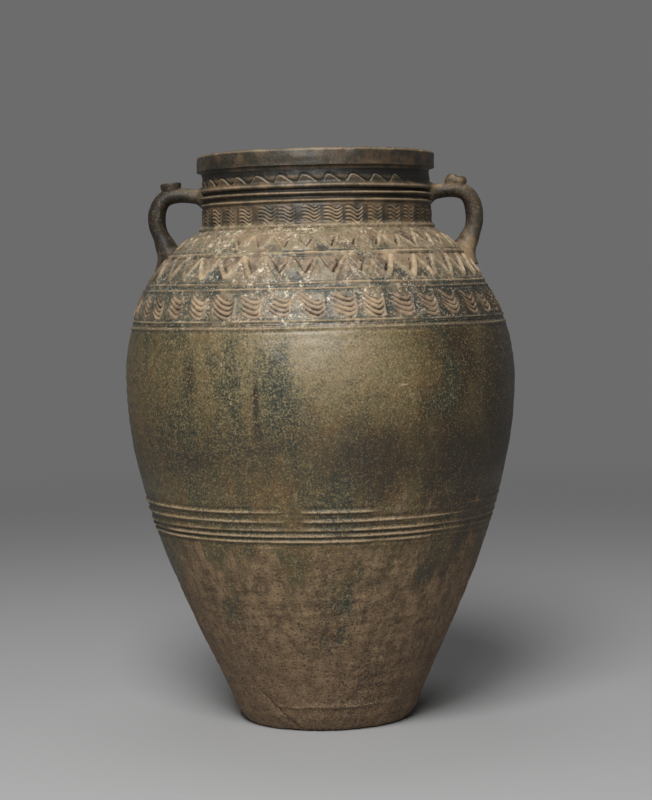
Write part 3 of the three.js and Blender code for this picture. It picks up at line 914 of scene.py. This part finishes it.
def bellyMarks(turn, height):
    b = bellyWall
    front = fromFront(turn)
    up = height - bellySeam
    smear = hump(front, -0.16, 0.075) * ease(3, 30, up)
    lost = ease(0.2, 0.34, front) * ease(1.05, 0.85, front) * ease(30, 34, up)
    dents = 0.3 * lumps(turn, height, 60, 14, 42) + 0.16 * lumps(turn, height, 150, 6, 43)
    lines = ridges(turn, up, b["ridge"], b["ridgesUp"], 46, 1)
    faded = 0.6 * ease(0.35, 0.95, front) * ease(2.4, 1.8, front)
    lines = lines * (1 - np.max([smear, lost, faded], axis=0)) + ridge(turn, height, b["topRidge"])
    return marks(dents) + lines + scars(front, up, b["scars"])


def makeBelly(material):
    b = bellyWall
    plainFrom = bellySeam + b["ridgesUp"][-1] + 5
    plainTo = shoulderSeam - 11
    ridged = wallRows(bellySeam, plainFrom, b["ridgeStep"])
    plain = wallRows(plainFrom, plainTo, b["plainStep"])
    top = wallRows(plainTo, shoulderSeam, b["ridgeStep"])
    outer = np.vstack([ridged, plain[1:], top[1:]])
    inner = innerRows(bellySeam, shoulderSeam, b["innerStep"])
    turnPiece("bellyWall", outer, inner, b["columns"], bellyMarks, material, "olive_glaze", "belly_wall")


shoulder = {
    "columns": 1080,
    "rowStep": 0.78,
    "cuts": (shoulderSeam + 37.95, neckSeam - 22.2),  # where it is divided into rings, in plain grooves
    "seat": 11,  # how far the seat for the neck reaches down inside
    "seatEase": 8,
    "ridge": {"width": 2.9, "rise": 1.1, "drift": 0.5, "worn": 0.7, "pale": 0.7, "dark": 0.7},
    "ridgesAt": (shoulderSeam + 3.2, shoulderSeam + 35.2, shoulderSeam + 40.7, neckSeam - 24.8),
    "comb": {"count": 39, "low": shoulderSeam + 5.7, "high": shoulderSeam + 32.2, "share": 0.74,
             "lines": 4, "pitch": 4.9, "swing": 10, "depth": 1.7, "pale": 0.6, "path": fallPath,
             "inked": 0.9, "fade": 0.2, "shift": 0.0806, "burr": 1, "brown": 0.8, "seed": 61},
    "zigzag": {"count": 39, "low": shoulderSeam + 45.5, "high": neckSeam - 27.3, "apex": 0.42,
               "upWidth": 5.4, "downWidth": 5.8, "rise": 1.4, "sink": 1.2, "cut": 2.6, "pellet": 1.8,
               "lip": 0.8, "teal": 1, "worn": 0.4, "pale": 0.8, "ragged": 0.9, "shift": 0.0225, "seed": 71},
    "upperZigzag": {"count": 39, "low": neckSeam - 21.3, "high": neckSeam - 5.3, "apex": 0.4,
                    "upWidth": 4.4, "downWidth": 3.6, "rise": 0.9, "sink": 0.8, "cut": 1.6, "pellet": 1.5,
                    "lip": 0.3, "teal": 0.6, "worn": 0.75, "pale": 0.7, "ragged": 1.6, "shift": 0.0225,
                    "seed": 95},
}


def shoulderMarks(turn, height):
    s = shoulder
    dents = 0.4 * lumps(turn, height, 90, 9, 56) + 0.35 * lumps(turn, height, 260, 3.6, 58)
    total = marks(dents, ease(-0.1, 0.5, dents) * 0.4, ease(0.1, -0.5, dents) * 0.5)
    total = total + ridges(turn, height, s["ridge"], s["ridgesAt"], 51, 2)
    total = total + zigzagged(turn, height, s["zigzag"]) + zigzagged(turn, height, s["upperZigzag"])
    return total + combed(turn, height, s["comb"])


def makeShoulder(material):
    s = shoulder
    rise = body["seamRise"]
    bore = neck["innerRadius"]
    seat = neckSeam - s["seat"]
    inner = innerRows(shoulderSeam, seat - rise)
    above = inner[:, 1] - rise
    levels = (shoulderSeam, *s["cuts"], neckSeam)
    names = ("shoulderComb", "shoulderZigzag", "shoulderLeaves")
    for name, low, high in zip(names, levels, levels[1:]):
        outer = wallRows(low, high, s["rowStep"])
        inside = inner[(above > low - 0.1) & (above < high + 0.1)]
        if high == neckSeam:
            outer = np.vstack([outer, [[neck["footRadius"] + neck["bead"], neckSeam]]])
            corner = [[bore + s["seatEase"], seat], [bore, seat + s["seatEase"]], [bore, neckSeam + rise]]
            inside = np.vstack([inside[inside[:, 0] > corner[0][0]], corner])
        turnPiece(name, outer, inside, s["columns"], shoulderMarks, material, "worn_glaze", "shoulder_wall")


neck = {
    "columns": 820,
    "rowStep": 0.7,
    "topRadius": 121,
    "footRadius": 123,
    "innerRadius": 109,
    "bead": 2.5,
    "beadHeight": 6,
    "innerPoints": 14,
    "fingerDepth": 0.4,
    "fingerPitch": 2.1,
    "ridges": (
        {"at": rimSeam - 31.8, "width": 3.8, "rise": 1.9, "pale": 0.95, "seed": 91},
        {"at": rimSeam - 24, "width": 4.4, "rise": 2.2, "pale": 0.85, "seed": 93},
        {"at": rimSeam - 16.5, "width": 7, "rise": 2.2, "pale": 0.75, "seed": 95},
    ),
    "ridge": {"drift": 0.3, "worn": 0.2, "dark": 0.6},
    "grooves": (rimSeam - 28, rimSeam - 20.4),
    "grooveDepth": 1.5,
    "comb": {"count": 33, "low": neckSeam + 3.2, "high": neckSeam + 24, "share": 0.86,
             "lines": 4.8, "pitch": 3.8, "swing": 2.1, "depth": 1.5, "pale": 0.7, "path": tildePath,
             "inked": 0.7, "fade": 0.1, "shift": 0.0065, "burr": 0.2, "brown": 0, "seed": 101},
    "wave": {"count": 30, "middle": rimSeam - 9.4, "swing": 3.9, "fall": 0.68, "width": 0.9, "depth": 1.2,
             "lostAt": 1.2, "low": rimSeam - 14.3, "high": rimSeam - 1.4, "seed": 111},
}


def waved(turn, height, w):
    slot, across = slots(turn, w["count"])
    bottom = w["fall"] + jitter(w["seed"], w["count"], -0.06, 0.06)[slot]
    half = np.where(across < bottom, across / bottom, 1 + (across - bottom) / (1 - bottom))
    aside = height - w["middle"] - w["swing"] * np.cos(math.pi * half)
    run = np.where(across < bottom, bottom, 1 - bottom) * fullTurn * neck["topRadius"] / w["count"]
    aside = aside / np.hypot(1, w["swing"] * math.pi * np.sin(math.pi * half) / run)
    inBand = ease(w["low"], w["low"] + 2, height) * ease(w["high"], w["high"] - 1.5, height)
    deep = np.where(across < bottom, 1, 0.75) * (1 - 0.9 * hump(fromFront(turn), w["lostAt"], 0.4))
    # the lip below the groove is paler, with wear and a painted highlight, and the groove darker, with pooled
    # glaze and painted shade
    lip = hump(aside, -0.9, 0.75) * deep
    groove = hump(aside, 0.7, w["width"]) * deep
    bare = ease(1, 4, aside) * jitter(w["seed"] + 1, w["count"], 0, 0.8)[slot]
    return inBand * marks(0.8 * lip - w["depth"] * groove, 0.9 * lip + 0.2 * bare, groove)


def neckMarks(turn, height):
    n = neck
    bead = 0.5 * hump(height, neckSeam + 3, 2.2)
    dents = 0.2 * lumps(turn, height, 120, 5, 115) + 0.25 * lumps(turn, height, 40, 12, 116)
    # a painted shadow under the rim's overhang: the deep tone fills the band from here up to the rim, and
    # reaches lower where the wave is lost
    under = rimSeam - 8 - 9 * hump(fromFront(turn), n["wave"]["lostAt"], 0.35)
    total = marks(dents + bead, bead, ease(under, under + 3, height))
    # grooves between the neck's ridges, darker with pooled glaze and painted shade
    for at in n["grooves"]:
        groove = hump(height, at, 1.7)
        total = total + marks(-n["grooveDepth"] * groove, pool=0.6 * groove)
    total = total + sum(ridge(turn, height, {**n["ridge"], **r}) for r in n["ridges"])
    return total + combed(turn, height, n["comb"]) + waved(turn, height, n["wave"])


def makeNeck(material):
    n = neck
    heights = np.linspace(neckSeam, rimSeam, round((rimSeam - neckSeam) / n["rowStep"]))
    radius = np.interp(heights, (neckSeam, rimSeam), (n["footRadius"], n["topRadius"]))
    radius += n["bead"] * ease(neckSeam + n["beadHeight"], neckSeam + n["beadHeight"] / 2, heights)
    inside = np.linspace(neckSeam, rimSeam, n["innerPoints"]) + body["seamRise"]
    inner = np.column_stack([n["innerRadius"] + n["fingerDepth"] * np.sin(inside / n["fingerPitch"]), inside])
    inner[[0, -1], 0] = n["innerRadius"]
    outer = np.column_stack([radius, heights])
    turnPiece("neckCollar", outer, inner, n["columns"], neckMarks, material, "dark_glaze", "neck_collar")


rim = {
    "columns": 640,
    "overhang": 5.5,
    "cove": 4,
    "face": 12.5,
    "topEase": 4.5,
    "innerEase": 3.5,
}


def rimMarks(turn, height):
    swells = 0.5 * lumps(turn, height, 26, 12, 121) + 0.35 * lumps(turn, height, 70, 6, 122)
    chips = ease(0.55, 0.9, lumps(turn, height * 0, 48, 50, 123)) * ease(rimTop - 6, rimTop - 1, height)
    # the raised top edge is paler: wear, and a painted highlight along it
    edge = hump(height, rimTop - 1.6, 1.6)
    rubs = hump(height, rimSeam + 6, 3.5) * ease(0, 0.7, lumps(turn, height, 34, 9, 124))
    stains = ease(0.1, 0.7, lumps(turn, height, 22, 13, 125)) * ease(rimTop - 2, rimTop - 6, height)
    return marks(swells - chips + 0.4 * edge, 0.6 * edge + 0.3 * rubs, 0.4 * chips + 0.8 * stains)


def makeRim(material):
    r = rim
    neckTop = neck["topRadius"]
    wide = neckTop + r["overhang"]
    faceFoot = rimSeam + r["cove"]
    faceTop = faceFoot + r["face"]
    inside = neck["innerRadius"]
    cove = bezier((neckTop, rimSeam), (neckTop + 0.6, faceFoot), (wide, faceFoot), count=9)
    face = bezier((wide, faceFoot + 0.8), (wide, faceTop), count=12)
    edge = bezier((wide, faceTop), (wide, rimTop), (wide - r["topEase"], rimTop), count=11)
    top = bezier(edge[-1], (inside + r["innerEase"], rimTop), count=9)
    bore = bezier(top[-1], (inside, rimTop), (inside, rimTop - r["innerEase"]), count=7)
    outer = np.vstack([cove, face, edge[1:], top[1:], bore[1:]])
    inner = bezier((inside, rimSeam + body["seamRise"]), (inside, rimTop - r["innerEase"] - 3), count=5)
    turnPiece("rimRing", outer, inner, r["columns"], rimMarks, material, "dark_glaze", "rim_ring")


# Handles and knobs

strap = {
    "sides": 44,
    "stations": 90,
    "springHeight": rimSeam - 22.3,
    "archPull": (25, 4),
    "reach": 168.7,
    "sideHeight": neckSeam + 10.7,
    "elbowPull": 37,
    "sidePull": 14,
    "rootHeight": neckSeam - 25.3,
    "rootPull": (3, 11),
    "bury": 10,
    "at": (0, 0.2, 0.38, 0.55, 0.71, 0.84, 1),
    "thick": (15.5, 15.5, 17, 19, 18.5, 22, 28),
    "wide": (28, 24, 23, 23, 23, 29, 36),
    "web": 7.5,  # how far from the wall the strap starts to spread
    "wearAndHighlight": {"left": 0.4, "right": 1},
    "rubbed": {"left": 0, "right": 0.15},
    "further": {"left": 3, "right": 0},  # how much further out the arch and the root stand
    "furtherFrom": (128, 160),  # none at the first distance from the axis, all at the second
    "waist": neckSeam - 9,  # hardly any at this height
    "waistHalf": 14,
    "loopMiddle": 140,
    "swells": 0.45,
    "dents": 0.2,
    "breadth": 22,
    "rootWornAndHighlight": (24, 8),  # distances from the wall between which it turns paler, with wear and a painted highlight
    "archWorn": (rimSeam - 21, rimSeam - 14),  # heights between which the top of the arch turns paler, with wear and a painted highlight
}


def strapLine():
    s = strap
    spring = np.array((neck["topRadius"], s["springHeight"]))
    side = np.array((s["reach"], s["sideHeight"]))
    root = np.array((float(wallAt(s["rootHeight"])), s["rootHeight"]))
    over = bezier(spring, spring + s["archPull"], side + (0, s["elbowPull"]), side)
    beforeRoot = root + s["rootPull"]
    down = bezier(side, side - (0, s["sidePull"]), beforeRoot, root)
    inward = (root - beforeRoot) / np.linalg.norm(root - beforeRoot) * s["bury"]
    line = np.vstack([[spring - (s["bury"], 0)], over, down[1:], [root + inward]])
    run = runAlong(line)
    return pointsAt(np.linspace(0, run[-1], s["stations"]), run, line)


def strapSize(share, key):
    at = strap["at"]
    size = strap[key]
    i = np.clip(np.searchsorted(at, share) - 1, 0, len(at) - 2)
    return size[i] + (size[i + 1] - size[i]) * ease(at[i], at[i + 1], share)


def sweepStrap(line):
    sides = strap["sides"]
    out = outward(line)
    bm = bmesh.new()
    sector = bm.verts.layers.int.new("sector")
    ring = bmesh.ops.create_circle(bm, segments=sides, radius=1)["verts"]
    for i, vert in enumerate(ring):
        vert[sector] = i
    edges = list(bm.edges)
    bmesh.ops.contextual_create(bm, geom=edges)
    for i, (centre, away) in enumerate(zip(line, out)):
        if i:
            made = bmesh.ops.extrude_edge_only(bm, edges=edges)["geom"]
            ring = [v for v in made if isinstance(v, bmesh.types.BMVert)]
            edges = [e for e in made if isinstance(e, bmesh.types.BMEdge) and all(v in ring for v in e.verts)]
        share = i / (len(line) - 1)
        thick = strapSize(share, "thick") / 2
        wide = strapSize(share, "wide") / 2
        for vert in ring:
            turn = fullTurn * vert[sector] / sides
            reach = centre + away * thick * math.cos(turn)
            vert.co = (reach[0] * mm, wide * math.sin(turn) * mm, reach[1] * mm)
    bmesh.ops.contextual_create(bm, geom=edges)
    bmesh.ops.recalc_face_normals(bm, faces=bm.faces)
    mesh = toMesh(bm, "strap")
    mesh.attributes.remove(mesh.attributes["sector"])
    return mesh


def gapToWall(points):  # from the neck or the shoulder, whichever the strap runs into there
    x, y, height = points.T
    radius = np.hypot(x, y)
    lean = np.interp(height, bodyLine[:, 1], bodyOut[:, 0])
    onBody = (radius - wallAt(height)) * lean
    return np.where(height > strap["sideHeight"], radius - neck["footRadius"], onBody)


def spreadRoots(points, line):  # the clay spreads where it is pressed on the wall
    radius = np.hypot(points[:, 0], points[:, 1])
    near = np.argmin(np.hypot(radius[:, None] - line[:, 0], points[:, 2:] - line[:, 1]), axis=1)
    centre = np.column_stack([line[near, 0], np.zeros(len(near)), line[near, 1]])
    away = points - centre
    away /= np.linalg.norm(away, axis=1)[:, None]
    grow = 0.5 * strap["web"] * np.clip(1 - gapToWall(points) / strap["web"], 0, 1.3) ** 2
    return points + away * grow[:, None]


def makeHandles(material):
    s = strap
    line = strapLine()
    for name, sign, seed in (("right", 1, 131), ("left", -1, 135)):
        mesh = sweepStrap(line)
        points = spreadRoots(readPoints(mesh) / mm, line)
        x, y, z = points.T
        # paler near the wall and along the top of the arch: wear, and a painted highlight
        wearAndHighlight = 0.6 * ease(*s["rootWornAndHighlight"], gapToWall(points)) + 0.6 * ease(*s["archWorn"], z)
        side = np.arctan2(y, x - s["loopMiddle"])
        away = s["swells"] * lumps(side, z, 7, 16, seed) + s["dents"] * lumps(side, z, 18, 6, seed + 1)
        further = s["further"][name] * (1 - 0.9 * hump(z, s["waist"], s["waistHalf"]))
        x = x + away * 0.8 + further * ease(*s["furtherFrom"], x)
        y = y * (1 + away / s["breadth"])
        writePoints(mesh, np.column_stack([x * sign, y * sign, z]) * mm)
        addLayer(mesh, "wearAndHighlight", s["rubbed"][name] + wearAndHighlight * s["wearAndHighlight"][name])
        finishPiece(name + "Handle", mesh, material, "handle_glaze", name + "_handle")


knobs = {
    "columns": 80,
    "radius": 11.6,
    "stem": 1.2,  # how much narrower the stem is, below and at its waist
    "waist": 1.4,
    "waistDrop": 2,
    "bed": 9,
    "pinchDepth": 6,
    "left": {"reach": 154.5, "rise": 6.2, "edge": 2.2, "dish": 1, "tilt": 0.3, "pinch": 0, "sign": -1,
             "wearAndHighlight": 0.1, "seed": 125},
    "right": {"reach": 148, "rise": 6.2, "edge": 5, "dish": 0.4, "tilt": 0.25, "pinch": 3, "sign": 1,
              "wearAndHighlight": 1, "seed": 121},
}


def knobProfile(own, low, top):  # a stem, a rolled edge and a dished face
    k = knobs
    r = k["radius"]
    rolled = own["edge"]
    dished = top - own["dish"]
    waist = top - rolled - k["waistDrop"]
    side = bezier((r - k["stem"], low), (r - k["waist"], waist), (r, waist), (r, top - rolled), count=12)
    edge = bezier((r, top - rolled), (r, top), (r - rolled, top), count=8)
    face = bezier((r - rolled, top), (r / 2, dished), (0, dished), count=10)
    return np.vstack([side, edge[1:], face[1:]])


def makeKnob(name, material):
    k = knobs
    own = k[name]
    line = strapLine()
    station = int(np.argmax(line[:, 0] > own["reach"]))
    strapTop = strapSize(station / (len(line) - 1), "thick") / 2
    top = strapTop + own["rise"]
    low = strapTop - k["bed"]
    outer = knobProfile(own, low, top)
    mesh = turnProfile(name + "Knob", outer, np.array([[0, low]]), k["columns"])
    skin, *_ = [takeLayer(mesh, key) for key in skinKeys]
    points = readPoints(mesh) / mm
    x, y, z = points.T
    turn = np.arctan2(y, x)
    pinched = hump(x, -4.5, 5) - 0.25 * hump(x, 2.5, 2.5)
    z += ease(top - k["pinchDepth"], top, z) * skin * own["pinch"] * pinched
    uneven = 0.05 * lumps(turn, z * 0, 7, 50, own["seed"])
    uneven += 0.03 * lumps(turn, z, 15, 3, own["seed"] + 1)
    points[:, :2] *= 1 + uneven[:, None]
    writePoints(mesh, points * mm)
    along = line[station + 1] - line[station - 1]
    bend = Matrix.Rotation(math.atan2(-along[1], along[0]) * own["tilt"], 4, "Y")
    move = Matrix.Translation((line[station, 0] * mm, 0, line[station, 1] * mm))
    mesh.transform(Matrix.Diagonal((own["sign"], own["sign"], 1, 1)) @ move @ bend)
    addLayer(mesh, "wearAndHighlight", np.full(len(points), own["wearAndHighlight"]))
    finishPiece(name + "HandleKnob", mesh, material, "handle_glaze", name + "_handle_knob")


placeCamera()
placeLights()
placeWorld()
placeFloor().data.materials.append(floorPaint())
print("studio ready")

glaze = jarGlaze()
for make in (makeBase, makeLower, makeBelly, makeShoulder, makeNeck, makeRim):
    make(glaze)
rubbed = handleGlaze()
makeHandles(rubbed)
makeKnob("left", rubbed)
makeKnob("right", rubbed)
